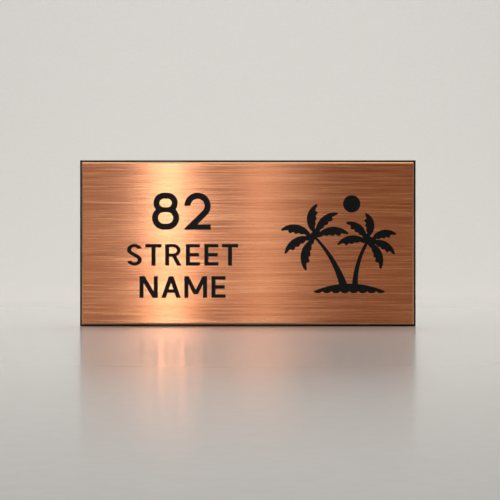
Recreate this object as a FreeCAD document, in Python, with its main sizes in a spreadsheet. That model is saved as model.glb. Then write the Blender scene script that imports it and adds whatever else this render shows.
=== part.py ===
import FreeCAD, Part
import math
import os
import Sketcher
from FreeCAD import Placement, Rotation, Vector

# House number plaque
#
# A brushed copper plate, engraved and filled with black enamel, is bonded to a
# black panel a little larger than itself, which shows as a thin rim all round.
# Five foam pads stick the panel to the wall, so no fixing shows from the front.
#
# Every piece is drawn lying on its back with its face up, and is then stood up
# against the wall: the drawn X stays to the right, the drawn Y becomes height
# and the drawn Z, the thickness, comes away from the wall, which is -Y. The
# origin is the middle of the wall side, where the pads touch the wall.

# Driving sizes, in millimetres, with what each one measures.
SIZES = [
    ("face_width", 200.0, "copper plate, left to right"),
    ("face_height", 97.7, "copper plate, bottom to top"),
    ("plate_thickness", 2.0, "copper plate"),
    ("plate_bevel", 0.9, "bevel round the front of the copper plate"),
    ("rim", 1.15, "how far the black panel shows past the copper on each side"),
    ("panel_thickness", 3.0, "black panel"),
    ("panel_arris", 0.25, "arris broken off the panel's edges, front and back"),
    ("film_thickness", 0.2, "bonding film between panel and plate"),
    ("film_inset", 2.0, "film edge behind the edge of the copper"),
    ("pad_thickness", 1.0, "foam pad, pressed home"),
    ("pad_size", 25.0, "side of a square foam pad"),
    ("pad_corner", 2.0, "corner radius of a foam pad"),
    ("pad_inset", 12.0, "edge of the panel to a corner pad"),
    ("engraving_depth", 0.4, "depth of the engraving"),
    ("enamel_set_back", 0.1, "enamel surface below the copper"),
    ("number_x", -40.0, "middle of the number, from the middle of the plate"),
    ("number_base", 8.1, "foot of the number, above the middle of the plate"),
    ("digit_height", 22.3, "height of both digits"),
    ("digit_stroke", 3.7, "width of the digits' round strokes"),
    ("digit_gap", 3.1, "between the two digits"),
    ("eight_waist", 3.0, "stroke where the rings of the eight cross"),
    ("eight_step", 0.9, "how much smaller the radius of its upper ring is"),
    ("eight_flat", 2.2, "level run between the round ends of each ring"),
    ("two_width", 15.8, "width of the two"),
    ("two_bar", 3.2, "height of the bar at its foot"),
    ("two_toe", 0.8, "height of its left edge at the foot"),
    ("motif_x", 61.0, "middle of the island, from the middle of the plate"),
    ("motif_base", -28.85, "tips of the island, from the middle of the plate"),
    ("island_width", 43.2, "island, tip to tip"),
    ("island_rise", 4.5, "top of the island above its tips"),
    ("wave_drop", 1.25, "depth of each wave under the island"),
    ("trunk_sink", 1.6, "how far a trunk runs down into the island"),
    ("crown_radius", 2.3, "knot where the fronds of a palm meet"),
    ("frond_root", 1.6, "where a frond starts, from the middle of the crown"),
    ("frond_tip_radius", 0.65, "round tip of a frond"),
    ("leaflet_drop", 1.2, "how far the largest leaflet's point stands out from its notch"),
    ("leaflet_bow", 0.15, "how far the outer side of a leaflet bows out"),
    ("tip_notch", 0.45, "how much deeper the notch nearest to the tip is"),
    ("sun_radius", 5.2, "sun"),
    ("sun_gap", 0.2, "the sun's lowest point above the frond tips beside it"),
    ("left_crown_x", -21.4, "left palm's crown, from the middle of the island"),
    ("left_crown_height", 33.3, "left palm's crown, above the island's tips"),
    ("trunk_flare", 0.3, "how far each side of a trunk draws in between foot and crown"),
    ("left_belly", 0.05, "notches of the left palm's fronds, below the line from crown to tip"),
    ("left_foot_x", -3.4, "foot of the left trunk"),
    ("left_foot_width", 5.1, "left trunk at its foot"),
    ("left_top_width", 1.5, "left trunk at the crown"),
    ("left_trunk_bow", -2.2, "bow of the left trunk, to its left if positive"),
    ("right_crown_x", 11.7, "right palm's crown, from the middle of the island"),
    ("right_crown_height", 30.9, "right palm's crown, above the island's tips"),
    ("right_belly", 0.4, "notches of the right palm's fronds, below the line from crown to tip"),
    ("right_foot_x", 3.45, "foot of the right trunk"),
    ("right_foot_width", 3.9, "right trunk at its foot"),
    ("right_top_width", 2.1, "right trunk at the crown"),
    ("right_trunk_bow", 2.1, "bow of the right trunk, to its left if positive"),
    ("left_up_length", 19.2, "left palm, upright frond, crown to tip"),
    ("left_up_bow", 5.0, "rise of its arched back"),
    ("left_inner_length", 19.9, "left palm, frond that leans to the other palm, crown to tip"),
    ("left_inner_bow", 4.5, "rise of its arched back"),
    ("left_side_length", 21.1, "left palm, frond that reaches to it, crown to tip"),
    ("left_side_bow", 4.6, "rise of its arched back"),
    ("left_outer_length", 20.0, "left palm, frond that reaches outward, crown to tip"),
    ("left_outer_bow", 4.7, "rise of its arched back"),
    ("left_low_length", 20.4, "left palm, frond that droops outward, crown to tip"),
    ("left_low_bow", 4.6, "rise of its arched back"),
    ("left_down_length", 21.4, "left palm, frond that hangs down, crown to tip"),
    ("left_down_bow", 5.0, "rise of its arched back"),
    ("right_up_length", 16.2, "right palm, upright frond, crown to tip"),
    ("right_up_bow", 4.35, "rise of its arched back"),
    ("right_inner_length", 17.1, "right palm, frond that leans to the other palm, crown to tip"),
    ("right_inner_bow", 4.0, "rise of its arched back"),
    ("right_side_length", 19.0, "right palm, frond that reaches to it, crown to tip"),
    ("right_side_bow", 4.0, "rise of its arched back"),
    ("right_outer_length", 16.9, "right palm, frond that reaches outward, crown to tip"),
    ("right_outer_bow", 4.0, "rise of its arched back"),
    ("right_low_length", 17.9, "right palm, frond that droops outward, crown to tip"),
    ("right_low_bow", 3.95, "rise of its arched back"),
    ("right_down_length", 18.9, "right palm, frond that hangs down, crown to tip"),
    ("right_down_bow", 4.15, "rise of its arched back"),
]

# The way each frond points, in degrees from level to the right.
ANGLES = [
    ("left_up_angle", 85.0, "left palm, upright frond"),
    ("left_inner_angle", 44.0, "left palm, frond that leans to the other palm"),
    ("left_side_angle", 4.0, "left palm, frond that reaches to it"),
    ("left_outer_angle", 169.0, "left palm, frond that reaches outward"),
    ("left_low_angle", 211.0, "left palm, frond that droops outward"),
    ("left_down_angle", 256.5, "left palm, frond that hangs down"),
    ("right_up_angle", 96.0, "right palm, upright frond"),
    ("right_inner_angle", 142.0, "right palm, frond that leans to the other palm"),
    ("right_side_angle", 187.5, "right palm, frond that reaches to it"),
    ("right_outer_angle", 12.5, "right palm, frond that reaches outward"),
    ("right_low_angle", 331.5, "right palm, frond that droops outward"),
    ("right_down_angle", 293.0, "right palm, frond that hangs down"),
]

# The fronds of a palm, by the places that the sizes above give them.
FRONDS = ("up", "inner", "side", "outer", "low", "down")

# The lower edge of a frond, from its tip to the crown. For each leaflet: where its
# notch and its point lie, as shares of the frond's length from the crown, and how
# far the point stands out, as a share of the largest leaflet.
LEAFLETS = ((0.80, 0.735, 1.0), (0.62, 0.56, 0.75), (0.45, 0.39, 0.5), (0.28, 0.20, 0.8))

# The count of waves under the island.
WAVES = 8

doc = FreeCAD.newDocument("house_number_plaque")
sheet = doc.addObject("Spreadsheet::Sheet", "sizes")


def fill_sheet():
    """Put every driving size in the sheet: its name, its value, its meaning."""
    for row, (name, value, meaning) in enumerate(SIZES + ANGLES, start=1):
        sheet.set(f"A{row}", name)
        sheet.set(f"B{row}", str(value))
        sheet.set(f"C{row}", meaning)
        sheet.setAlias(f"B{row}", name)
    doc.recompute()


def bind(thing, expressions):
    """Tie properties of a thing to cells of the sheet."""
    for target, expression in expressions.items():
        thing.setExpression(target, expression)


# Where each layer starts, counted from the wall.
PANEL_BACK = "sizes.pad_thickness"
FILM_BACK = f"({PANEL_BACK} + sizes.panel_thickness)"
PLATE_BACK = f"({FILM_BACK} + sizes.film_thickness)"

# Half the panel, and the floor of the engraving above the back of the plate.
HALF_PANEL_WIDTH = "(sizes.face_width / 2 + sizes.rim)"
HALF_PANEL_HEIGHT = "(sizes.face_height / 2 + sizes.rim)"
ENGRAVING_FLOOR = "(sizes.plate_thickness - sizes.engraving_depth)"

STAND_UP = Rotation(Vector(1, 0, 0), 90)


def stand_up(piece, distance_from_wall):
    """Turn a finished piece upright, this far in front of the wall."""
    piece.Placement = Placement(Vector(0, 0, 0), STAND_UP)
    piece.setExpression("Placement.Base.y", f"-{distance_from_wall}")


# Sheets, pads and films

def origin_plane(body, role):
    return next(f for f in body.Origin.OriginFeatures if f.Role == role)


def centred_rectangle(body, width, height):
    """A sketched rectangle about the body's origin, with its sides bound."""
    sketch = body.newObject("Sketcher::SketchObject", f"{body.Label}_outline")
    sketch.AttachmentSupport = [(origin_plane(body, "XY_Plane"), "")]
    sketch.MapMode = "FlatFace"
    corners = [Vector(-1, -1, 0), Vector(1, -1, 0), Vector(1, 1, 0), Vector(-1, 1, 0)]
    for start, end in zip(corners, corners[1:] + corners[:1]):
        sketch.addGeometry(Part.LineSegment(start, end), False)
    for side in range(4):
        sketch.addConstraint(Sketcher.Constraint("Coincident", side, 2, (side + 1) % 4, 1))
    for side in (0, 2):
        sketch.addConstraint(Sketcher.Constraint("Horizontal", side))
    for side in (1, 3):
        sketch.addConstraint(Sketcher.Constraint("Vertical", side))
    sketch.addConstraint(Sketcher.Constraint("Symmetric", 0, 1, 2, 1, -1, 1))
    bound_constraint(sketch, Sketcher.Constraint("DistanceX", 0, 1, 0, 2, 2.0), "width", width)
    bound_constraint(sketch, Sketcher.Constraint("DistanceY", 1, 1, 1, 2, 2.0), "height", height)
    return sketch


def bound_constraint(sketch, constraint, name, expression):
    index = sketch.addConstraint(constraint)
    sketch.renameConstraint(index, name)
    sketch.setExpression(f"Constraints.{name}", expression)


def sheet_body(label, width, height, thickness):
    """A flat rectangular piece, padded up from its own origin plane."""
    body = doc.addObject("PartDesign::Body", label)
    body.Label = label
    sketch = centred_rectangle(body, width, height)
    pad = body.newObject("PartDesign::Pad", f"{label}_pad")
    pad.Profile = sketch
    pad.setExpression("Length", thickness)
    sketch.Visibility = False
    doc.recompute()
    return body


def edge_names(shape, wanted):
    return [f"Edge{i}" for i, edge in enumerate(shape.Edges, start=1) if wanted(edge)]


def level_edges(shape, height):
    """The edges that lie level at this height."""
    close = 1e-6
    return edge_names(shape, lambda e: all(abs(v.Z - height) < close for v in e.Vertexes))


def upright_edges(shape):
    close = 1e-6
    return edge_names(shape, lambda e: abs(e.Vertexes[0].Z - e.Vertexes[1].Z) > close)


def dress(body, kind, name, edges, size_property, expression):
    """Chamfer or fillet these edges of the body's last feature."""
    last = body.Tip
    feature = body.newObject(f"PartDesign::{kind}", name)
    feature.Base = (last, edges)
    feature.setExpression(size_property, expression)
    body.Tip = feature
    doc.recompute()


def make_backing_panel():
    body = sheet_body("backing_panel", f"{HALF_PANEL_WIDTH} * 2",
                      f"{HALF_PANEL_HEIGHT} * 2", "sizes.panel_thickness")
    front = body.Shape.BoundBox.ZMax
    edges = level_edges(body.Shape, front) + level_edges(body.Shape, 0)
    dress(body, "Chamfer", "panel_arrises", edges, "Size", "sizes.panel_arris")
    stand_up(body, PANEL_BACK)
    return body


def make_bonding_film():
    body = sheet_body("bonding_film", "sizes.face_width - 2 * sizes.film_inset",
                      "sizes.face_height - 2 * sizes.film_inset", "sizes.film_thickness")
    stand_up(body, FILM_BACK)
    return body


def make_foam_pad(place, across, up):
    """A square pad with round corners: across and up are -1, 0 or 1."""
    body = sheet_body(f"foam_pad_{place}", "sizes.pad_size", "sizes.pad_size",
                      "sizes.pad_thickness")
    dress(body, "Fillet", f"pad_corners_{place}", upright_edges(body.Shape),
          "Radius", "sizes.pad_corner")
    body.Placement = Placement(Vector(0, 0, 0), STAND_UP)
    reach = "sizes.pad_inset - sizes.pad_size / 2"
    bind(body, {
        "Placement.Base.x": f"{across} * ({HALF_PANEL_WIDTH} - {reach})",
        "Placement.Base.z": f"{up} * ({HALF_PANEL_HEIGHT} - {reach})",
    })
    return body


# Engraving
#
# Each figure is drawn once, at the floor of the engraving, and raised to a
# cutter that stands as far above the face as it reaches below it. The plate is
# cut by it, and the part of it up to the enamel's level is the enamel itself.

def raise_cutter(name, outline):
    cutter = doc.addObject("Part::Extrusion", name)
    cutter.Base = outline
    cutter.DirMode = "Custom"
    cutter.Dir = Vector(0, 0, 1)
    cutter.Solid = True
    cutter.setExpression("LengthFwd", "sizes.engraving_depth * 2")
    return cutter


def fuse(name, things):
    union = doc.addObject("Part::MultiFuse", name)
    union.Shapes = things
    union.Refine = True
    return union


def cut(name, base, tool):
    difference = doc.addObject("Part::Cut", name)
    difference.Base = base
    difference.Tool = tool
    difference.Refine = True
    return difference


# The eight: two broad rings, one on the other, that share the waist stroke.
# Their ends are half circles, whose radii follow from the height of the digit,
# the stroke and the waist.
EIGHT_LOWER = ("((sizes.digit_height + 2 * sizes.digit_stroke - sizes.eight_waist"
               " + 2 * sizes.eight_step) / 4)")
EIGHT_UPPER = f"({EIGHT_LOWER} - sizes.eight_step)"
EIGHT_WIDTH = f"(2 * {EIGHT_LOWER} + sizes.eight_flat)"
NUMBER_LEFT = (f"(sizes.number_x - ({EIGHT_WIDTH} + sizes.digit_gap"
               " + sizes.two_width) / 2)")


def broad_disc(name, radius, height_above_foot):
    """A cutter of the eight, centred over its foot: two discs with a bar between."""
    middle = f"{NUMBER_LEFT} + {EIGHT_WIDTH} / 2"
    level = f"sizes.number_base + {height_above_foot}"
    parts = []
    for end, side in (("left", -1), ("right", 1)):
        disc = doc.addObject("Part::Cylinder", f"{name}_{end}")
        bind(disc, {
            "Radius": radius,
            "Height": "sizes.engraving_depth * 2",
            "Placement.Base.x": f"{middle} + {side} * sizes.eight_flat / 2",
            "Placement.Base.y": level,
            "Placement.Base.z": ENGRAVING_FLOOR,
        })
        parts.append(disc)
    bar = doc.addObject("Part::Box", f"{name}_bar")
    bind(bar, {
        "Length": "sizes.eight_flat",
        "Width": f"2 * ({radius})",
        "Height": "sizes.engraving_depth * 2",
        "Placement.Base.x": f"{middle} - sizes.eight_flat / 2",
        "Placement.Base.y": f"{level} - ({radius})",
        "Placement.Base.z": ENGRAVING_FLOOR,
    })
    parts.append(bar)
    return fuse(name, parts)


def draw_eight():
    upper_middle = f"sizes.digit_height - {EIGHT_UPPER}"
    rings = fuse("eight_rings", [
        broad_disc("eight_lower", EIGHT_LOWER, EIGHT_LOWER),
        broad_disc("eight_upper", EIGHT_UPPER, upper_middle),
    ])
    counters = fuse("eight_counters", [
        broad_disc("eight_lower_counter", f"{EIGHT_LOWER} - sizes.digit_stroke", EIGHT_LOWER),
        broad_disc("eight_upper_counter", f"{EIGHT_UPPER} - sizes.digit_stroke", upper_middle),
    ])
    return cut("eight_cutter", rings, counters)


def draw_two():
    """The two: a round head, a straight neck tangent to it, and a flat foot."""
    width = sheet.two_width
    bar = sheet.two_bar
    radius = width / 2
    inner = radius - sheet.digit_stroke
    middle = Vector(radius, sheet.digit_height - radius, 0)
    # The neck falls at about this angle, which the constraints then settle.
    fall = math.radians(45)

    def on_head(distance):
        return middle + heading(-fall) * distance

    sketch = doc.addObject("Sketcher::SketchObject", "two_outline")
    head, bowl, terminal, neck_inside, toe, foot, end, bar_top, neck_outside = range(9)
    axis = Vector(0, 0, 1)
    points = {
        "toe": Vector(0, sheet.two_toe, 0),
        "corner": Vector(0, 0, 0),
        "heel": Vector(width, 0, 0),
        "heel_top": Vector(width, bar, 0),
        "throat": Vector(width / 2, bar, 0),
    }
    sketch.addGeometry([
        Part.ArcOfCircle(Part.Circle(middle, axis, radius), -fall, math.pi),
        Part.ArcOfCircle(Part.Circle(middle, axis, inner), -fall, math.pi),
        Part.LineSegment(middle - Vector(radius, 0, 0), middle - Vector(inner, 0, 0)),
        Part.LineSegment(on_head(inner), points["toe"]),
        Part.LineSegment(points["toe"], points["corner"]),
        Part.LineSegment(points["corner"], points["heel"]),
        Part.LineSegment(points["heel"], points["heel_top"]),
        Part.LineSegment(points["heel_top"], points["throat"]),
        Part.LineSegment(points["throat"], on_head(radius)),
    ], False)
    rule = Sketcher.Constraint
    sketch.addConstraint([
        rule("Coincident", head, 3, bowl, 3),
        rule("Coincident", terminal, 1, head, 2),
        rule("Coincident", terminal, 2, bowl, 2),
        rule("Tangent", neck_inside, 1, bowl, 1),
        rule("Tangent", neck_outside, 2, head, 1),
        rule("Coincident", neck_inside, 2, toe, 1),
        rule("Coincident", toe, 2, foot, 1),
        rule("Coincident", foot, 2, end, 1),
        rule("Coincident", end, 2, bar_top, 1),
        rule("Coincident", bar_top, 2, neck_outside, 1),
        rule("Coincident", foot, 1, -1, 1),
        rule("Horizontal", terminal),
        rule("Horizontal", head, 3, head, 2),
        rule("Vertical", toe),
        rule("Horizontal", foot),
        rule("Vertical", end),
        rule("Horizontal", bar_top),
        rule("PointOnObject", head, 2, -2),
    ])
    bound_constraint(sketch, rule("Radius", head, radius), "head", "sizes.two_width / 2")
    bound_constraint(sketch, rule("DistanceX", foot, 1, foot, 2, width), "width",
                     "sizes.two_width")
    bound_constraint(sketch, rule("DistanceX", terminal, 1, terminal, 2, sheet.digit_stroke),
                     "stroke", "sizes.digit_stroke")
    bound_constraint(sketch, rule("DistanceY", end, 1, end, 2, bar), "foot_bar",
                     "sizes.two_bar")
    bound_constraint(sketch, rule("DistanceY", toe, 2, toe, 1, sheet.two_toe), "toe",
                     "sizes.two_toe")
    bound_constraint(sketch, rule("DistanceY", -1, 1, head, 3, middle.y), "middle",
                     "sizes.digit_height - sizes.two_width / 2")
    bind(sketch, {
        "Placement.Base.x": f"{NUMBER_LEFT} + {EIGHT_WIDTH} + sizes.digit_gap",
        "Placement.Base.y": "sizes.number_base",
        "Placement.Base.z": ENGRAVING_FLOOR,
    })
    return raise_cutter("two_cutter", sketch)


# The motif is drawn about the middle of the island, level with its tips.

def draw_outline(name, edges):
    """A closed flat outline of the motif, filled, at the engraving's floor."""
    outline = doc.addObject("Part::Feature", f"{name}_outline")
    outline.Shape = Part.Face(Part.Wire(edges))
    bind(outline, {
        "Placement.Base.x": "sizes.motif_x",
        "Placement.Base.y": "sizes.motif_base",
        "Placement.Base.z": ENGRAVING_FLOOR,
    })
    return raise_cutter(f"{name}_cutter", outline)


def arc(start, middle, end):
    return Part.Arc(start, middle, end).toShape()


def line(start, end):
    return Part.LineSegment(start, end).toShape()


def left_of(start, end):
    """The direction square to a run, on its left."""
    along = (end - start).normalize()
    return Vector(-along.y, along.x, 0)


def heading(angle):
    return Vector(math.cos(angle), math.sin(angle), 0)


def bowed(start, end, bow):
    """An arc between two points that bows to its left."""
    return arc(start, (start + end) / 2 + left_of(start, end) * bow, end)


def waves(start, end, drop):
    """A row of equal arcs between two points, each bowed to its left."""
    step = (end - start) / WAVES
    marks = [start + step * i for i in range(WAVES + 1)]
    return [bowed(a, b, drop) for a, b in zip(marks, marks[1:])]


def frond_tip(palm, frond):
    angle = math.radians(sheet.get(f"{palm}_{frond}_angle"))
    return crown_of(palm) + heading(angle) * sheet.get(f"{palm}_{frond}_length")


def draw_frond(palm, frond):
    """An arched back, a round tip, and below them leaflets that point to the tip."""
    length = sheet.get(f"{palm}_{frond}_length")
    bow = sheet.get(f"{palm}_{frond}_bow")
    notch_level = -sheet.get(f"{palm}_belly")
    radius = sheet.frond_tip_radius
    along = heading(math.radians(sheet.get(f"{palm}_{frond}_angle")))
    # The back is the upper side, whichever way the frond points.
    above = Vector(-along.y, along.x, 0) * (1 if along.x > 0 else -1)

    def at(out, up):
        return crown_of(palm) + along * out + above * up

    def on_tip(degrees):
        turn = math.radians(degrees)
        return at(length - radius + radius * math.cos(turn), radius * math.sin(turn))

    back = arc(at(sheet.frond_root, 0), at(length / 2, bow), on_tip(45))
    tip = arc(on_tip(45), on_tip(-30), on_tip(-105))
    notches = [at(length * notch, notch_level) for notch, point, size in LEAFLETS]
    notches[0] = notches[0] + above * sheet.tip_notch
    points = [at(length * point, notch_level - sheet.leaflet_drop * size)
              for notch, point, size in LEAFLETS]
    # The leaflet next to the crown runs level into it, so the fronds join there.
    heel = at(sheet.frond_root, notch_level - sheet.leaflet_drop * LEAFLETS[-1][2])
    edges = [back, tip, line(on_tip(-105), notches[0])]
    for notch, point, following in zip(notches, points, notches[1:] + [heel]):
        edges.append(line(notch, point))
        edges.append(arc(point, (point + following) / 2 - above * sheet.leaflet_bow, following))
    edges.append(line(heel, at(sheet.frond_root, 0)))
    return draw_outline(f"{palm}_{frond}_frond", edges)


def crown_of(palm):
    return Vector(sheet.get(f"{palm}_crown_x"), sheet.get(f"{palm}_crown_height"), 0)


def draw_trunk(palm):
    """A bowed trunk that widens from the crown down and flares at the island."""
    crown = crown_of(palm)
    foot = Vector(sheet.get(f"{palm}_foot_x"), sheet.island_rise - sheet.trunk_sink, 0)
    bow = sheet.get(f"{palm}_trunk_bow")
    side = left_of(foot, crown)
    foot_half = side * sheet.get(f"{palm}_foot_width") / 2
    crown_half = side * sheet.get(f"{palm}_top_width") / 2
    return draw_outline(f"{palm}_trunk", [
        bowed(foot + foot_half, crown + crown_half, bow - sheet.trunk_flare),
        line(crown + crown_half, crown - crown_half),
        bowed(crown - crown_half, foot - foot_half, -bow - sheet.trunk_flare),
        line(foot - foot_half, foot + foot_half),
    ])


def draw_disc(name, middle, radius):
    return draw_outline(name, [Part.Circle(middle, Vector(0, 0, 1), radius).toShape()])


def draw_palm(palm):
    crown = crown_of(palm)
    pieces = [draw_frond(palm, frond) for frond in FRONDS]
    pieces.append(draw_disc(f"{palm}_crown", crown, sheet.crown_radius))
    pieces.append(draw_trunk(palm))
    return pieces


def draw_island():
    left = Vector(-sheet.island_width / 2, 0, 0)
    right = Vector(sheet.island_width / 2, 0, 0)
    edges = [bowed(left, right, sheet.island_rise)]
    edges += waves(right, left, sheet.wave_drop)
    return draw_outline("island", edges)


def draw_palms():
    pieces = draw_palm("left") + draw_palm("right") + [draw_island()]
    return fuse("palms_cutter", pieces)


def draw_sun():
    """The sun stands over the gap between the two fronds nearest to it."""
    tips = [frond_tip("left", "inner"), frond_tip("right", "up")]
    middle = Vector(sum(tip.x for tip in tips) / 2, 0, 0)
    middle.y = max(tip.y for tip in tips) + sheet.sun_gap + sheet.sun_radius
    return draw_disc("sun", middle, sheet.sun_radius)


def make_face_plate(cutters):
    blank = sheet_body("plate_blank", "sizes.face_width", "sizes.face_height",
                       "sizes.plate_thickness")
    edges = level_edges(blank.Shape, blank.Shape.BoundBox.ZMax)
    dress(blank, "Chamfer", "plate_bevels", edges, "Size", "sizes.plate_bevel")
    plate = cut("face_plate", blank, fuse("engraving", cutters))
    stand_up(plate, PLATE_BACK)
    return plate


def make_enamel(label, cutter, enamel_level):
    """The enamel that fills one figure, up to its level below the face."""
    enamel = doc.addObject("Part::MultiCommon", label)
    enamel.Shapes = [cutter, enamel_level]
    enamel.Refine = True
    stand_up(enamel, PLATE_BACK)
    return enamel


def make_enamel_level():
    """A slab as large as the plate, from the engraving's floor to the enamel's top."""
    slab = doc.addObject("Part::Box", "enamel_level")
    bind(slab, {
        "Length": "sizes.face_width",
        "Width": "sizes.face_height",
        "Height": "sizes.engraving_depth - sizes.enamel_set_back",
        "Placement.Base.x": "-sizes.face_width / 2",
        "Placement.Base.y": "-sizes.face_height / 2",
        "Placement.Base.z": ENGRAVING_FLOOR,
    })
    return slab


def write_pieces(pieces):
    """Check the whole document, then write each piece under its own name."""
    doc.recompute()
    for thing in doc.Objects:
        if "Invalid" in thing.State or "Error" in thing.State:
            raise RuntimeError(f"{thing.Label} failed: {thing.State}")
    for piece in pieces:
        shape = piece.Shape
        if shape.isNull() or not shape.isValid() or len(shape.Solids) != 1:
            raise RuntimeError(f"{piece.Label} is not one valid solid")
    os.makedirs("parts", exist_ok=True)
    for piece in pieces:
        piece.Shape.exportStep(f"parts/{piece.Label}.step")
        box = piece.Shape.BoundBox
        print(f"{piece.Label:24s} {box.XLength:8.2f} {box.YLength:6.2f} {box.ZLength:8.2f} mm"
              f"  {piece.Shape.Volume:10.1f} mm3  {len(piece.Shape.Faces)} faces")


fill_sheet()
figures = {
    "number_enamel_eight": draw_eight(),
    "number_enamel_two": draw_two(),
    "palms_enamel": draw_palms(),
    "sun_enamel": draw_sun(),
}
doc.recompute()
pieces = [make_backing_panel(), make_bonding_film(), make_face_plate(list(figures.values()))]
level = make_enamel_level()
for label, cutter in figures.items():
    pieces.append(make_enamel(label, cutter, level))
PAD_PLACES = {
    "middle": (0, 0),
    "top_left": (-1, 1),
    "top_right": (1, 1),
    "bottom_left": (-1, -1),
    "bottom_right": (1, -1),
}
for place, (across, up) in PAD_PLACES.items():
    pieces.append(make_foam_pad(place, across, up))
write_pieces(pieces)
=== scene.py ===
# %% [markdown]
# A brushed copper house number plaque.
# The imported CAD model comes in as a fixed frame, and this lesson dresses it: cut lettering in the copper,
# real finishes on every piece, a plain pale floor and soft lamps. The box of the CAD model is kept.

# %% Open the imported model
import math

import bmesh
import bpy
from mathutils import Matrix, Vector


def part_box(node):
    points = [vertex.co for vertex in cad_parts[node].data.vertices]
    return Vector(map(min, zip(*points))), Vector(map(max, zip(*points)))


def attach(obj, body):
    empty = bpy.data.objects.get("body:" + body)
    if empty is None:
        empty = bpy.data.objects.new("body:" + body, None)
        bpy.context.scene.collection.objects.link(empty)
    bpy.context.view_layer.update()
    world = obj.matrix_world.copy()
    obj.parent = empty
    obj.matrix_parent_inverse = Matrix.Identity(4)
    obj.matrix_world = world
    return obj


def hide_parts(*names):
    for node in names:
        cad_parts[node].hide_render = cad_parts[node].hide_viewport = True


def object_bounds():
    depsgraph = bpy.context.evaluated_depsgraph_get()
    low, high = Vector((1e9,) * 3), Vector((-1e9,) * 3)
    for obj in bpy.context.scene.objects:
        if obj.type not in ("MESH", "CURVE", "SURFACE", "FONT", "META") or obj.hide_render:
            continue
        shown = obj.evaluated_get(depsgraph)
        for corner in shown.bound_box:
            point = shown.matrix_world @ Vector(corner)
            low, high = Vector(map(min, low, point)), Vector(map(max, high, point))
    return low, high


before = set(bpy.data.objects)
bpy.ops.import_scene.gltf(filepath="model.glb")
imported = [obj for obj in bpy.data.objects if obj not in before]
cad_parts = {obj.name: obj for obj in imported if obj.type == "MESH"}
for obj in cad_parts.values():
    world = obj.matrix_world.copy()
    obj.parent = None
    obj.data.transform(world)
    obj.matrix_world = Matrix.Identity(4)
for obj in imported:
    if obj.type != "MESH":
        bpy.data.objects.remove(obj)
cad_low, cad_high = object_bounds()

MM = 0.001
QUARTER_TURN = math.radians(90)
plate_low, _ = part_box("face_plate")
print("CAD nodes:", sorted(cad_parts))
print("plaque in mm:", [round(side / MM, 2) for side in cad_high - cad_low])

# %% [markdown]
# The camera.
# The photograph looks square at the plaque, about level with its middle, and all four black rims are
# equally thin, so the lens is long. A lens length follows from two things that can be measured: how wide
# the picture is at the plaque, and how far off the camera stands. The picture is 500 pixels wide and one
# pixel is 0.6014 mm on the copper.

# %% Set up a level camera
PICTURE_PIXELS = 500
PIXEL = 0.6014 * MM
CAMERA_DISTANCE = 900 * MM
CAMERA_ACROSS = 1.3 * MM
CAMERA_UP = -4.08 * MM

camera_data = bpy.data.cameras.new("long_lens")
camera_data.lens = camera_data.sensor_width * CAMERA_DISTANCE / (PICTURE_PIXELS * PIXEL)
camera = bpy.data.objects.new("camera", camera_data)
camera.location = (CAMERA_ACROSS, plate_low.y - CAMERA_DISTANCE, CAMERA_UP)
camera.rotation_euler = (QUARTER_TURN, 0, 0)
bpy.context.scene.collection.objects.link(camera)
bpy.context.scene.camera = camera
bpy.context.scene.view_settings.view_transform = "Standard"
print("lens in mm:", round(camera_data.lens, 1))

# %% [markdown]
# Meshes from operators.
# Every new shape below starts as a bmesh, is shaped by bmesh operators and becomes an object at the end.
# The object stays at the origin and its place is in its mesh, as with the CAD pieces, so one small function
# does the ending.

# %% Turn a finished bmesh into an object
def finish_mesh(shape, name, finish):
    """Make an object of a bmesh, give it its finish and free the bmesh."""
    bmesh.ops.recalc_face_normals(shape, faces=shape.faces)
    mesh = bpy.data.meshes.new(name)
    shape.to_mesh(mesh)
    shape.free()
    mesh.materials.append(finish)
    piece = bpy.data.objects.new(name, mesh)
    bpy.context.scene.collection.objects.link(piece)
    print(name, "has", len(mesh.polygons), "faces")
    return piece


# %% [markdown]
# Sums on sockets.
# A finish is worked out by nodes, and a sum such as 1 - mask needs a Math node with its wires. The class
# below wraps an output socket, so that the sum can be written as it is on paper. Its method node adds any
# other node, with the settings first and the values or wires of its sockets after them.

# %% Wrap a socket so that it can be used in sums
class Wire:
    """An output socket of a shader node, used in sums like a number."""

    def __init__(self, socket):
        self.socket = socket

    def node(self, kind, settings, values):
        """Add a node: first its settings, then the values or wires of its sockets. Returns its outputs."""
        tree = self.socket.id_data
        made = tree.nodes.new("ShaderNode" + kind)
        for name, setting in settings.items():
            setattr(made, name, setting)
        for name, value in values.items():
            if isinstance(value, Wire):
                tree.links.new(value.socket, made.inputs[name])
            else:
                made.inputs[name].default_value = value
        return {output.name: Wire(output) for output in made.outputs if output.enabled}

    def sum(self, operation, first, second):
        """Add one Math node on two values or wires."""
        return self.node("Math", {"operation": operation}, {0: first, 1: second})["Value"]

    def __add__(self, other):
        return self.sum("ADD", self, other)

    def __radd__(self, other):
        return self.sum("ADD", other, self)

    def __sub__(self, other):
        return self.sum("SUBTRACT", self, other)

    def __rsub__(self, other):
        return self.sum("SUBTRACT", other, self)

    def __mul__(self, other):
        return self.sum("MULTIPLY", self, other)

    def __rmul__(self, other):
        return self.sum("MULTIPLY", other, self)


# %% [markdown]
# A new finish.
# All the finishes here are one Principled shader, whose numbers that are the same all over are set on its
# own sockets. What changes over the surface comes in by wire. Each pattern reads the object coordinates,
# which are metres on the plaque because every object sits at the origin.

# %% Start a finish and read where a point lies on the plaque
def start_finish(name, **constants):
    """A material with its Principled shader set, that shader, and the wire of a point's place."""
    material = bpy.data.materials.new(name)
    material.use_nodes = True
    shader = material.node_tree.nodes["Principled BSDF"]
    for socket, value in constants.items():
        shader.inputs[socket.replace("_", " ")].default_value = value
    place = Wire(shader.outputs[0]).node("TexCoord", {}, {})["Object"]
    return material, shader, place


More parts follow.
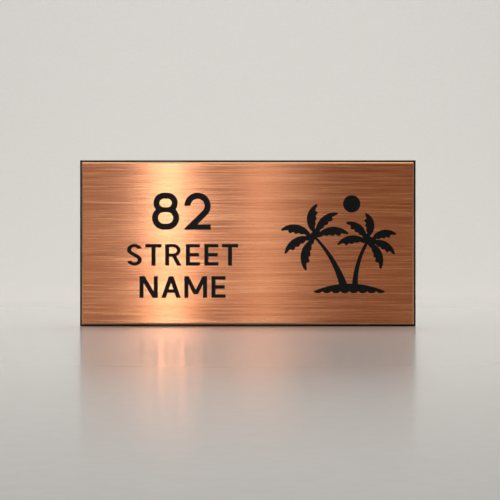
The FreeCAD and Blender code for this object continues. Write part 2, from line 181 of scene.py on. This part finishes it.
def split(vector):
    """The wires of a vector's X, Y and Z."""
    return vector.node("SeparateXYZ", {}, {"Vector": vector})


def facing(place):
    """The wires of the X, Y and Z of the direction that the surface faces."""
    return split(place.node("NewGeometry", {}, {})["Normal"])


def connect(shader, **wires):
    """Wire patterns into the shader's sockets."""
    tree = shader.id_data
    for socket, wire in wires.items():
        tree.links.new(wire.socket, shader.inputs[socket.replace("_", " ")])
    print("finish with", len(tree.nodes), "nodes, which drive", ", ".join(wires))


# %% [markdown]
# Patterns.
# Three kinds of pattern serve all the finishes. A grain is noise with its own length along each direction,
# so one function makes brush lines, saw marks and soft clouds alike. A blend lays one colour over another
# through a mask. The Mix node has several sockets of each name, so its colour ones are picked by number. A
# relief turns a height into a bump, with its depth in metres.

# %% Make the pattern helpers
MIX_FACTOR, MIX_UNDER, MIX_OVER = 0, 6, 7


def grain(place, along_x, along_y, along_z, detail=2.0, shift=0.0):
    """Noise from 0 to 1 whose features are as long in metres as given along each direction."""
    sizes = (1 / along_x, 1 / along_y, 1 / along_z)
    shifts = (shift, shift, shift)
    mapped = place.node("Mapping", {}, {"Vector": place, "Scale": sizes, "Location": shifts})["Vector"]
    return mapped.node("TexNoise", {}, {"Vector": mapped, "Scale": 1.0, "Detail": detail})["Fac"]


def between(value, low, high, start=0.0, end=1.0):
    """Stretch a value so that low becomes start and high becomes end, and stop there."""
    limits = {"Value": value, "From Min": low, "From Max": high, "To Min": start, "To Max": end}
    return value.node("MapRange", {"clamp": True}, limits)["Result"]


def blend(mask, under, over):
    """Lay one colour over another where the mask says."""
    colours = {MIX_FACTOR: mask, MIX_UNDER: under, MIX_OVER: over}
    return mask.node("Mix", {"data_type": "RGBA"}, colours)["Result"]


def relief(height, depth, strength=1.0):
    """A bump of that depth in metres where the height goes from 0 to 1."""
    return height.node("Bump", {}, {"Height": height, "Distance": depth, "Strength": strength})["Normal"]


# %% [markdown]
# The floor and the backdrop.
# The plaque stands on a plain pale studio sweep, a sheet of fine card with a thin lacquer. Near the plaque
# it is glossy enough to mirror it softly, and farther out it is matt, so that it doesn't mirror the lamps.
# Both depend on the square of the distance, in square metres, which saves taking a root.

# %% Make the sweep's finish
GLOSSY_WITHIN = 0.1
MATT_BEYOND = 0.4
PALE = (0.86, 0.85, 0.83, 1)
PALER = (0.89, 0.88, 0.86, 1)

sweep_finish, shader, place = start_finish("pale_sweep", Coat_Roughness=0.14)
fibres = grain(place, 4 * MM, 4 * MM, 4 * MM, detail=4.0)
ground = split(place)
away_squared = ground["X"] * ground["X"] + ground["Y"] * ground["Y"]
connect(
    shader,
    Base_Color=blend(between(fibres, 0.3, 0.7), PALE, PALER),
    Roughness=between(away_squared, GLOSSY_WITHIN, MATT_BEYOND, 0.27, 0.65),
    Coat_Weight=between(away_squared, GLOSSY_WITHIN, MATT_BEYOND, 0.5, 0.0),
)

# %% [markdown]
# The sweep.
# A sweep is one sheet that lies flat and curves up far behind, so there is no corner to see. It starts as a
# grid of one face whose far edge is extruded upwards, and the fold between the two is rounded with a bevel.

# %% Build the sweep
SWEEP_WIDTH = 8.0
SWEEP_FRONT = -5.0
SWEEP_BACK = 1.6
SWEEP_HEIGHT = 3.0
SWEEP_RADIUS = 0.8
SWEEP_SEGMENTS = 24


def verts_of(parts):
    """The vertices among the parts of a mesh."""
    return [part for part in parts if isinstance(part, bmesh.types.BMVert)]


def round_off(shape, edges, radius, segments):
    """Round edges with a bevel."""
    bmesh.ops.bevel(
        shape, geom=edges, offset=radius, offset_type="OFFSET", affect="EDGES",
        segments=segments, profile=0.5, material=-1,
    )


shape = bmesh.new()
bmesh.ops.create_grid(shape, x_segments=1, y_segments=1, size=0.5)
bmesh.ops.scale(shape, verts=shape.verts, vec=(SWEEP_WIDTH, SWEEP_BACK - SWEEP_FRONT, 1))
bmesh.ops.translate(shape, verts=shape.verts, vec=(0, (SWEEP_BACK + SWEEP_FRONT) / 2, cad_low.z))
far_edge = [edge for edge in shape.edges if all(vert.co.y > SWEEP_BACK - MM for vert in edge.verts)]
raised = bmesh.ops.extrude_edge_only(shape, edges=far_edge)["geom"]
bmesh.ops.translate(shape, verts=verts_of(raised), vec=(0, 0, SWEEP_HEIGHT))
fold = [edge for edge in shape.edges if len(edge.link_faces) == 2]
round_off(shape, fold, SWEEP_RADIUS, SWEEP_SEGMENTS)
sweep = finish_mesh(shape, "sweep", sweep_finish)
sweep.data.shade_smooth()

# %% [markdown]
# The bands in the copper.
# Brushed metal shows its lamps as bands: the brush lines run along the plaque and spread each reflection up
# and down, so a tall narrow lamp becomes an upright bright band. The photograph has a strong band left of
# the middle, a weak one at the middle and a duller right side. Each strip here is a tall lamp behind the
# camera, set where a mirror would show it at the band's place. The strips are a little cool and the light
# overhead is a little warm, so the bands come out paler than the copper round them. Each row gives a
# strip's band, width and brightness.

# %% Place the strips
LAMP_DISTANCE = 1300 * MM
LAMP_HEIGHT = 1600 * MM
STRIPS = {
    "main_strip": (-48.5 * MM, 28 * MM, 13.4),
    "middle_strip": (8 * MM, 30 * MM, 2.2),
    "middle_softbox": (14 * MM, 125 * MM, 0.55),
    "left_softbox": (-102 * MM, 60 * MM, 0.5),
}
DAYLIGHT = (0.72, 0.87, 1.0)


def add_lamp(name, width, height, brightness, place, turn, colour):
    """A flat lamp of that brightness, which is the light that each point of it sends towards the plaque."""
    data = bpy.data.lights.new(name, "AREA")
    data.shape = "RECTANGLE"
    data.size = width
    data.size_y = height
    data.energy = brightness * math.pi * width * height
    data.color = colour
    lamp = bpy.data.objects.new(name, data)
    lamp.location = place
    lamp.rotation_euler = turn
    lamp.visible_camera = False
    bpy.context.scene.collection.objects.link(lamp)
    print(name, "stands at", [round(value, 2) for value in place])


for name, (band, width, brightness) in STRIPS.items():
    across = band + (band - CAMERA_ACROSS) * LAMP_DISTANCE / CAMERA_DISTANCE
    place = (across, plate_low.y - LAMP_DISTANCE, cad_low.z + LAMP_HEIGHT / 2)
    turn = (QUARTER_TURN, 0, math.atan2(across, LAMP_DISTANCE))
    add_lamp(name, width, LAMP_HEIGHT, brightness, place, turn, DAYLIGHT)

# %% [markdown]
# The light of the room.
# A wide lamp overhead lights the top bevel and the floor, one more lights the backdrop, and a card on each
# side lights the upright bevels. Each row gives a lamp's width, height, brightness, place, turns about X
# and Z in degrees, and colour. A faint warm glow from all round stands for the light that a room's walls
# give back.

# %% Place the other lamps
LAMPLIGHT = (1.0, 0.95, 0.88)
WHITE = (1.0, 1.0, 1.0)
ROOM_LAMPS = {
    "overhead": (1.8, 1.5, 0.68, (0, 0.1, 1.0), (0, 0), LAMPLIGHT),
    "backdrop_lamp": (2.4, 0.5, 2.6, (0, 0.75, 1.3), (25, 0), WHITE),
    "left_card": (0.5, 0.5, 0.75, (-0.8, -0.1, 0.4), (90, -90), WHITE),
    "right_card": (0.5, 0.5, 0.35, (0.8, -0.1, 0.4), (90, 90), WHITE),
}
ROOM_GLOW = (0.15, 0.133, 0.115, 1)

for name, (width, height, brightness, place, (tilt, swing), colour) in ROOM_LAMPS.items():
    turn = (math.radians(tilt), 0, math.radians(swing))
    add_lamp(name, width, height, brightness, place, turn, colour)

world = bpy.data.worlds.new("studio")
world.use_nodes = True
world.node_tree.nodes["Background"].inputs["Color"].default_value = ROOM_GLOW
bpy.context.scene.world = world

# %% [markdown]
# Brushed copper.
# A plate is brushed with an abrasive belt that runs along it, so its scratches are long, fine and parallel.
# Light spreads across them and hardly along them, which the Anisotropic number does, turned by a quarter so
# that the spread goes up and down. Three grains give the streaks: broad tones, brush lines and hair
# scratches. They shift the colour a little and the roughness. The relief, a few thousandths of a
# millimetre, comes from the brush lines alone, because a relief finer than a pixel speckles. A thin clear
# lacquer lies over it all, because bare copper would go brown outdoors.

# %% Make the brushed copper
COPPER = (0.82, 0.262, 0.095, 1)
DULL_COPPER = (0.64, 0.182, 0.06, 1)
PALE_COPPER = (0.94, 0.355, 0.145, 1)

brushed, shader, place = start_finish(
    "brushed_copper", Metallic=1.0, Anisotropic=1.0, Anisotropic_Rotation=0.25,
    Coat_Weight=0.8, Coat_Roughness=0.16,
)
broad = grain(place, 110 * MM, 20 * MM, 3.2 * MM, detail=1.0)
lines = grain(place, 40 * MM, 5 * MM, 0.6 * MM, detail=2.0, shift=7.0)
hairs = grain(place, 22 * MM, 2 * MM, 0.25 * MM, detail=2.0, shift=19.0)
tone = broad * 0.25 + lines * 0.55 + hairs * 0.2
colour = blend(between(tone, 0.38, 0.5), DULL_COPPER, COPPER)
colour = blend(between(tone, 0.5, 0.62), colour, PALE_COPPER)
scratches = lines * 0.7 + hairs * 0.3
connect(
    shader,
    Base_Color=colour,
    Roughness=between(scratches, 0.38, 0.62, 0.195, 0.285),
    Normal=relief(lines, 0.006 * MM),
)

# %% [markdown]
# The cut edges of the copper.
# The bevel and the sides are milled after the brushing. A milling cutter leaves short lines along each edge
# and a brighter, smoother metal than the belt does. The lines have to run along whichever edge they are on,
# so a mask made from the surface's own direction picks between lines along the plaque and lines up it.

# %% Make the milled copper
MILLED = (0.84, 0.40, 0.20, 1)
PALE_MILLED = (0.95, 0.56, 0.34, 1)
MARK_LENGTH = 12 * MM
MARK_WIDTH = 0.12 * MM
SIDEWAYS = (0.2, 0.3)

milled, shader, place = start_finish(
    "milled_copper", Metallic=1.0, Coat_Weight=0.12, Coat_Roughness=0.25,
)
direction = facing(place)
upright = between(direction["X"] * direction["X"], *SIDEWAYS)
level_lines = grain(place, MARK_LENGTH, MARK_WIDTH, MARK_WIDTH)
upright_lines = grain(place, MARK_WIDTH, MARK_WIDTH, MARK_LENGTH)
cut = upright_lines * upright + level_lines * (1 - upright)
connect(
    shader,
    Base_Color=blend(between(cut, 0.35, 0.65), MILLED, PALE_MILLED),
    Roughness=between(cut, 0.3, 0.7, 0.2, 0.34),
    Normal=relief(cut, 0.004 * MM, 0.5),
)

# %% [markdown]
# The lettering.
# The words under the number are engraved and filled, like the number. They are drawn here, in millimetres,
# as an engraver's plain capitals. A straight stroke is a cube scaled to its size and sheared by its lean,
# so its ends stay level. It runs a little past the two lines that the letters stand between, and is trimmed
# to them later.

# %% Draw a straight stroke
CAPITAL = 13.0
STEM = 2.5
BAR = 2.1
LEG = 2.75
DIAGONAL = 3.2
STROKE_DEPTH = 20.0
OVERRUN = 1.0
print("capitals are", CAPITAL, "mm tall, with stems of", STEM, "mm and bars of", BAR, "mm")


def straight(shape, low_x, high_x, width, low_z=0.0, high_z=CAPITAL):
    """A stroke from low_x at its foot to high_x at its head, both at its left edge."""
    slope = (high_x - low_x) / (high_z - low_z)
    below = OVERRUN if low_z == 0 else 0
    above = OVERRUN if high_z == CAPITAL else 0
    made = bmesh.ops.create_cube(shape, size=1.0)["verts"]
    bmesh.ops.translate(shape, verts=made, vec=(0.5, 0, 0.5))
    bmesh.ops.scale(shape, verts=made, vec=(width, STROKE_DEPTH, high_z - low_z + below + above))
    shear = Matrix(((1, 0, slope), (0, 1, 0), (0, 0, 1))).to_4x4()
    bmesh.ops.transform(shape, verts=made, matrix=shear)
    bmesh.ops.translate(shape, verts=made, vec=(low_x - slope * below, 0, low_z - below))


# %% [markdown]
# Round strokes.
# A round stroke starts as one flat face, the section of the groove. It is run along a straight by an
# extrusion and round a bend by a spin, one after the other, and each starts on the face where the last one
# ended. Round letters are broader than tall, so the whole stroke is widened about its middle at the end.

# %% Draw a round stroke
BEND_STEPS = 28
THICK_ROUND = 1.95
print("round strokes are", THICK_ROUND, "mm thick and take", BEND_STEPS, "steps to a bend")


def faces_of(parts):
    """The faces among the parts of a mesh."""
    return [part for part in parts if isinstance(part, bmesh.types.BMFace)]


def round_stroke(shape, start, heading, moves, widening, middle_x):
    """A stroke that starts at a point in a heading and then makes its moves: runs and turns."""
    old = set(shape.verts)
    section = bmesh.ops.create_grid(shape, x_segments=1, y_segments=1, size=0.5)["verts"]
    bmesh.ops.scale(shape, verts=section, vec=(THICK_ROUND, STROKE_DEPTH, 1))
    turned = Matrix.Rotation(math.radians(90 - heading), 3, "Y")
    bmesh.ops.rotate(shape, verts=section, matrix=turned)
    bmesh.ops.translate(shape, verts=section, vec=(start[0], 0, start[1]))
    first = list(section[0].link_faces)
    end = first
    for kind, across, up, degrees in moves:
        if kind == "run":
            last = bmesh.ops.extrude_face_region(shape, geom=end)["geom"]
            bmesh.ops.translate(shape, verts=verts_of(last), vec=(across, 0, up))
        else:
            edges = [edge for face in end for edge in face.edges]
            verts = [vert for face in end for vert in face.verts]
            last = bmesh.ops.spin(
                shape, geom=end + edges + verts, cent=(across, 0, up), axis=(0, -1, 0),
                angle=math.radians(degrees), steps=BEND_STEPS, use_duplicate=False,
            )["geom_last"]
        if end is not first:
            left_inside = [face for face in end if face.is_valid and face not in last]
            bmesh.ops.delete(shape, geom=left_inside, context="FACES_ONLY")
        end = faces_of(last)
    made = [vert for vert in shape.verts if vert not in old]
    bmesh.ops.scale(shape, verts=made, vec=(widening, 1, 1))
    bmesh.ops.translate(shape, verts=made, vec=(middle_x, 0, 0))


# %% [markdown]
# The straight capitals.
# Five of the seven capitals have straight strokes only, and the R has two. A row of numbers gives each
# stroke: its left edge at the foot and at the head, its width, and where it does not reach from line to
# line also its foot and its head.

# %% Give the straight strokes of each capital
HEAD_BAR = CAPITAL - BAR
LETTER_WIDTHS = {"S": 9.1, "T": 9.8, "R": 9.9, "E": 8.5, "N": 11.1, "A": 11.8, "M": 13.7}
T_STEM = (LETTER_WIDTHS["T"] - STEM) / 2
N_SIDE = LETTER_WIDTHS["N"] - STEM
M_SIDE = LETTER_WIDTHS["M"] - STEM
M_MIDDLE = (LETTER_WIDTHS["M"] - LEG) / 2
M_FOOT = 2.2
A_TOP = (LETTER_WIDTHS["A"] - LEG) / 2
A_SIDE = LETTER_WIDTHS["A"] - LEG
A_BAR_LEFT = 2.5
A_BAR_WIDTH = 6.8
A_BAR_FOOT = 3.0
E_MIDDLE_WIDTH = 8.0
E_MIDDLE_FOOT = 5.5
R_LEG_FOOT = LETTER_WIDTHS["R"] - LEG
R_LEG_HEAD = 3.8
R_LEG_TOP = 6.3
STRAIGHT_STROKES = {
    "T": [(0, 0, LETTER_WIDTHS["T"], HEAD_BAR, CAPITAL), (T_STEM, T_STEM, STEM)],
    "E": [
        (0, 0, STEM), (0, 0, LETTER_WIDTHS["E"], HEAD_BAR, CAPITAL),
        (0, 0, E_MIDDLE_WIDTH, E_MIDDLE_FOOT, E_MIDDLE_FOOT + BAR), (0, 0, LETTER_WIDTHS["E"], 0, BAR),
    ],
    "N": [(0, 0, STEM), (N_SIDE, N_SIDE, STEM), (LETTER_WIDTHS["N"] - DIAGONAL, 0, DIAGONAL)],
    "A": [
        (0, A_TOP, LEG), (A_SIDE, A_TOP, LEG),
        (A_BAR_LEFT, A_BAR_LEFT, A_BAR_WIDTH, A_BAR_FOOT, A_BAR_FOOT + BAR),
    ],
    "M": [
        (0, 0, STEM), (M_SIDE, M_SIDE, STEM),
        (M_MIDDLE, 0, LEG, M_FOOT, CAPITAL), (M_MIDDLE, 2 * M_MIDDLE, LEG, M_FOOT, CAPITAL),
    ],
    "R": [(0, 0, STEM), (R_LEG_FOOT, R_LEG_HEAD, LEG, 0, R_LEG_TOP)],
}
print("letters with straight strokes:", ", ".join(STRAIGHT_STROKES))

# %% [markdown]
# The round capitals.
# The bowl of the R is a run, half a turn and a run back. The S is a bend, a sloping run and a bend the
# other way, and the run has to touch both bends, which sets its slope.

# %% Draw the bowl of the R and the S
def bowl_of_r(shape):
    """The bowl of the R, out from its stem and back to it."""
    reach = 4.9
    foot = 5.3
    widening = 1.15
    inside_stem = 1.0
    radius = (CAPITAL - foot - THICK_ROUND) / 2
    level = foot + THICK_ROUND / 2 + radius
    run = (reach - inside_stem) / widening
    moves = [("run", run, 0, 0), ("turn", 0, level, -180), ("run", -run, 0, 0)]
    round_stroke(shape, (-run, level + radius), 0, moves, widening, reach)


def whole_s(shape):
    """The S, from its upper end to its lower end."""
    radius = 2.45
    widening = 1.31
    opening = 14
    clear = 0.02
    upper = CAPITAL - clear - THICK_ROUND / 2 - radius
    lower = clear + THICK_ROUND / 2 + radius
    touch = math.degrees(math.asin(2 * radius / (upper - lower)))
    angle = math.radians(touch)
    end = math.radians(opening)
    start = (radius * math.cos(end), upper + radius * math.sin(end))
    run = (2 * radius * math.cos(angle), lower - upper + 2 * radius * math.sin(angle))
    bend = 180 + touch - opening
    moves = [("turn", 0, upper, bend), ("run", run[0], run[1], 0), ("turn", 0, lower, -bend)]
    round_stroke(shape, start, 90 + opening, moves, widening, LETTER_WIDTHS["S"] / 2)


# %% [markdown]
# Booleans.
# The overlapping strokes of a letter have to become one solid, and the words have to be cut out of the
# plate. A boolean does both. There is none among the bmesh operators, so two throwaway objects and a
# Boolean modifier do it, with the exact solver, which keeps clean edges.

# %% Make the boolean helper
def boolean(shape, tool, operation, overlapping=False):
    """A new bmesh: one mesh, whose own parts may be overlapping, changed by another. Frees both."""
    objects = []
    for name, part in (("base", shape), ("tool", tool)):
        bmesh.ops.recalc_face_normals(part, faces=part.faces)
        mesh = bpy.data.meshes.new(name)
        part.to_mesh(mesh)
        part.free()
        objects.append(bpy.data.objects.new(name, mesh))
        bpy.context.scene.collection.objects.link(objects[-1])
    change = objects[0].modifiers.new("change", "BOOLEAN")
    change.operation = operation
    change.solver = "EXACT"
    change.use_self = overlapping
    change.object = objects[1]
    graph = bpy.context.evaluated_depsgraph_get()
    result = bmesh.new()
    result.from_mesh(objects[0].evaluated_get(graph).to_mesh())
    for part in objects:
        bpy.data.objects.remove(part)
    return result


# %% [markdown]
# Setting a word.
# The letters of a word are set side by side with even gaps, a little closer beside a T or an A, whose open
# sides look wider than they are. The part that the strokes share with one long block, as high as the
# capitals and as deep as wanted, is one closed solid for each letter.

# %% Set a word as solid letters
LETTER_GAP = 2.6
OPEN_SIDE = 0.55
OPEN_LETTERS = "TA"
SAME_POINT = 0.002 * MM
SAME_PLANE = math.radians(0.5)
WORDS_MIDDLE = -39.3 * MM
WORD_LINES = {"street": -13.46 * MM, "name": -32.84 * MM}
print("the words stand on", len(WORD_LINES), "lines")


def letters(word, baseline, front, back):
    """Solid capitals of one word that stand on a baseline, from the plane front to the plane back."""
    shape = bmesh.new()
    capitals = word.upper()
    across = 0.0
    for place, letter in enumerate(capitals):
        old = set(shape.verts)
        for stroke in STRAIGHT_STROKES.get(letter, ()):
            straight(shape, *stroke)
        if letter == "R":
            bowl_of_r(shape)
        if letter == "S":
            whole_s(shape)
        made = [vert for vert in shape.verts if vert not in old]
        bmesh.ops.translate(shape, verts=made, vec=(across, 0, 0))
        open_sides = sum(neighbour in OPEN_LETTERS for neighbour in capitals[place:place + 2])
        across += LETTER_WIDTHS[letter] + LETTER_GAP - OPEN_SIDE * open_sides
    width = across - LETTER_GAP + OPEN_SIDE * (capitals[-1] in OPEN_LETTERS)
    bmesh.ops.translate(shape, verts=shape.verts, vec=(-width / 2, 0, 0))
    bmesh.ops.scale(shape, verts=shape.verts, vec=(MM, MM, MM))
    bmesh.ops.translate(shape, verts=shape.verts, vec=(WORDS_MIDDLE, 0, baseline))
    print(word, "is", round(width, 1), "mm wide")

    block = bmesh.new()
    bmesh.ops.create_cube(block, size=1.0)
    bmesh.ops.scale(block, verts=block.verts, vec=(2 * width * MM, back - front, CAPITAL * MM))
    middle = (WORDS_MIDDLE, (front + back) / 2, baseline + CAPITAL * MM / 2)
    bmesh.ops.translate(block, verts=block.verts, vec=middle)
    shape = boolean(shape, block, "INTERSECT", overlapping=True)
    bmesh.ops.remove_doubles(shape, verts=shape.verts, dist=SAME_POINT)
    bmesh.ops.dissolve_limit(shape, verts=shape.verts, edges=shape.edges, angle_limit=SAME_PLANE)
    return shape


# %% [markdown]
# Cutting the words.
# The CAD plate already has pockets for the number and the palms. A copy of it gets pockets of the same
# depth for the words, by taking the solid letters away from it with a boolean. The CAD mesh is loose
# triangles, so the copy is merged first: a boolean needs a closed solid.

# %% Cut the words out of a copy of the plate
enamel_low, enamel_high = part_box("number_enamel_eight")
CUTTER_OVERSHOOT = 0.5 * MM
CAD_SAME_POINT = 0.001 * MM
ON_THE_FRONT = 0.01 * MM
FLAT_ENOUGH = 0.99

shape = bmesh.new()
shape.from_mesh(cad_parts["face_plate"].data)
bmesh.ops.remove_doubles(shape, verts=shape.verts, dist=CAD_SAME_POINT)
for word, baseline in WORD_LINES.items():
    cutter = letters(word, baseline, plate_low.y - CUTTER_OVERSHOOT, enamel_high.y)
    shape = boolean(shape, cutter, "DIFFERENCE")
plate = finish_mesh(shape, "engraved_plate", brushed)
plate.data.materials.append(milled)
for face in plate.data.polygons:
    level = face.center.y < plate_low.y + ON_THE_FRONT and abs(face.normal.y) > FLAT_ENOUGH
    face.material_index = 0 if level else 1
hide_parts("face_plate")
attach(plate, "root")

# %% [markdown]
# Black enamel.
# The pockets are filled with black enamel, which is poured, dries and is flatted back a little under the
# copper. It isn't quite black: it is satin, so it picks up a grey sheen, and dust and tiny pits break that
# up.

# %% Make the enamel and fill every pocket
ENAMEL = (0.0020, 0.0015, 0.0009, 1)
DUSTY_ENAMEL = (0.0042, 0.0035, 0.0026, 1)

enamel, shader, place = start_finish("black_enamel", Specular_IOR_Level=0.17)
cloud = grain(place, 6 * MM, 6 * MM, 6 * MM, detail=3.0)
pits = grain(place, 0.25 * MM, 0.25 * MM, 0.25 * MM, detail=3.0, shift=3.0)
connect(
    shader,
    Base_Color=blend(between(cloud, 0.35, 0.65), ENAMEL, DUSTY_ENAMEL),
    Roughness=between(cloud * 0.5 + pits * 0.5, 0.35, 0.65, 0.28, 0.4),
    Normal=relief(pits, 0.01 * MM, 0.4),
)


def give_finish(node, finish):
    """Replace the materials of a CAD piece by one finish."""
    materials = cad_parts[node].data.materials
    materials.clear()
    materials.append(finish)


for node in ("number_enamel_eight", "number_enamel_two", "palms_enamel", "sun_enamel"):
    give_finish(node, enamel)
for word, baseline in WORD_LINES.items():
    shape = letters(word, baseline, enamel_low.y, enamel_high.y)
    filling = finish_mesh(shape, "word_enamel_" + word, enamel)
    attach(filling, "root")

# %% [markdown]
# Gloss black panel.
# Behind the copper is a sheet of cast black acrylic, sawn to size and chamfered. Its faces are like a
# mirror with faint smears and a little dust, and its sawn sides are matt, with fine saw marks across their
# thickness.

# %% Make the black acrylic
ACRYLIC = (0.004, 0.004, 0.0045, 1)
SAWN_ACRYLIC = (0.006, 0.006, 0.007, 1)
DUST = (0.10, 0.10, 0.10, 1)
SAW_MARK = 0.35 * MM
SAW_MARK_LENGTH = 6 * MM
FRONT_OR_BACK = (0.75, 0.95)

acrylic, shader, place = start_finish("black_acrylic", Specular_IOR_Level=0.15)
direction = facing(place)
flat_face = between(direction["Y"] * direction["Y"], *FRONT_OR_BACK)
saw_x = grain(place, SAW_MARK, SAW_MARK_LENGTH, SAW_MARK_LENGTH, detail=3.0)
saw_z = grain(place, SAW_MARK_LENGTH, SAW_MARK_LENGTH, SAW_MARK, detail=3.0)
on_end = between(direction["X"] * direction["X"], *SIDEWAYS)
saw = saw_z * on_end + saw_x * (1 - on_end)
smears = grain(place, 30 * MM, 30 * MM, 18 * MM, detail=4.0)
dust = between(grain(place, 0.5 * MM, 0.5 * MM, 0.5 * MM, detail=1.0, shift=5.0), 0.72, 0.78)
body = blend(dust * 0.25, ACRYLIC, DUST)
gloss = between(smears, 0.4, 0.7, 0.05, 0.16) + dust * 0.2
sawn = between(saw, 0.3, 0.7, 0.35, 0.6)
connect(
    shader,
    Base_Color=blend(flat_face, SAWN_ACRYLIC, body),
    Roughness=gloss * flat_face + sawn * (1 - flat_face),
    Normal=relief(saw * (1 - flat_face) + 0.5 * flat_face, 0.03 * MM, 0.6),
)
give_finish("backing_panel", acrylic)

# %% [markdown]
# Bonding film.
# A double-sided film holds the copper on the acrylic. Only its thin edge could be seen, milky, with a
# little dirt and tiny bubbles.

# %% Make the film
MILKY = (0.72, 0.71, 0.67, 1)
DIRTY = (0.55, 0.53, 0.48, 1)

film, shader, place = start_finish("clear_film", Roughness=0.45)
dirt = grain(place, 3 * MM, 3 * MM, 3 * MM, detail=4.0)
bubbles = grain(place, 0.8 * MM, 0.8 * MM, 0.8 * MM, detail=1.0, shift=11.0)
connect(
    shader,
    Base_Color=blend(between(dirt, 0.4, 0.7), MILKY, DIRTY),
    Normal=relief(bubbles, 0.02 * MM, 0.5),
)
give_finish("bonding_film", film)

# %% [markdown]
# Foam pads.
# Five self-adhesive pads of closed-cell foam hold the plaque to the wall. The cells show as tiny dimples,
# which a Voronoi pattern gives, and the foam yellows a little in clouds.

# %% Make the foam
CELL = 0.35 * MM
FOAM = (0.80, 0.79, 0.76, 1)
AGED_FOAM = (0.69, 0.67, 0.62, 1)

foam, shader, place = start_finish("white_foam", Roughness=0.85)
cells = place.node("TexVoronoi", {}, {"Vector": place, "Scale": 1 / CELL})["Distance"]
tint = grain(place, 9 * MM, 9 * MM, 9 * MM, detail=3.0)
connect(
    shader,
    Base_Color=blend(between(tint, 0.35, 0.7), FOAM, AGED_FOAM),
    Normal=relief(cells, 0.12 * MM, 0.7),
)

# %% [markdown]
# Die-cut pads.
# A die cuts the pads from a sheet, which rounds their corners, and pressing the plaque to the wall makes
# their sides swell a little. A cube is scaled to the pad, the short edges at its corners and then its rims
# are bevelled, and a cut at half thickness is pushed outwards.

# %% Build the pads
PAD_CORNER = 2.0 * MM
PAD_RIM = 0.12 * MM
PAD_SWELL = 1.012
CORNER_SEGMENTS = 8
RIM_SEGMENTS = 3
SHARPEST_ROUND = math.radians(50)


def foam_pad(name, low, high):
    """A die-cut foam pad between two corners, with a soft rim and swollen sides."""
    shape = bmesh.new()
    bmesh.ops.create_cube(shape, size=1.0)
    bmesh.ops.scale(shape, verts=shape.verts, vec=high - low)
    corners = [edge for edge in shape.edges if abs((edge.verts[0].co - edge.verts[1].co).y) > PAD_RIM]
    round_off(shape, corners, PAD_CORNER, CORNER_SEGMENTS)
    rims = [edge for edge in shape.edges if abs(edge.verts[0].co.y - edge.verts[1].co.y) < PAD_RIM]
    round_off(shape, rims, PAD_RIM, RIM_SEGMENTS)
    whole = list(shape.verts) + list(shape.edges) + list(shape.faces)
    cut = bmesh.ops.bisect_plane(shape, geom=whole, plane_co=(0, 0, 0), plane_no=(0, 1, 0))["geom_cut"]
    bmesh.ops.scale(shape, verts=verts_of(cut), vec=(PAD_SWELL, 1, PAD_SWELL))
    bmesh.ops.translate(shape, verts=shape.verts, vec=(low + high) / 2)
    pad = finish_mesh(shape, name, foam)
    pad.data.shade_smooth()
    pad.data.set_sharp_from_angle(angle=SHARPEST_ROUND)
    return pad


for node in sorted(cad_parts):
    if node.startswith("foam_pad"):
        pad = foam_pad(node.replace("foam_pad", "die_cut_pad"), *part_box(node))
        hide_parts(node)
        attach(pad, "root")
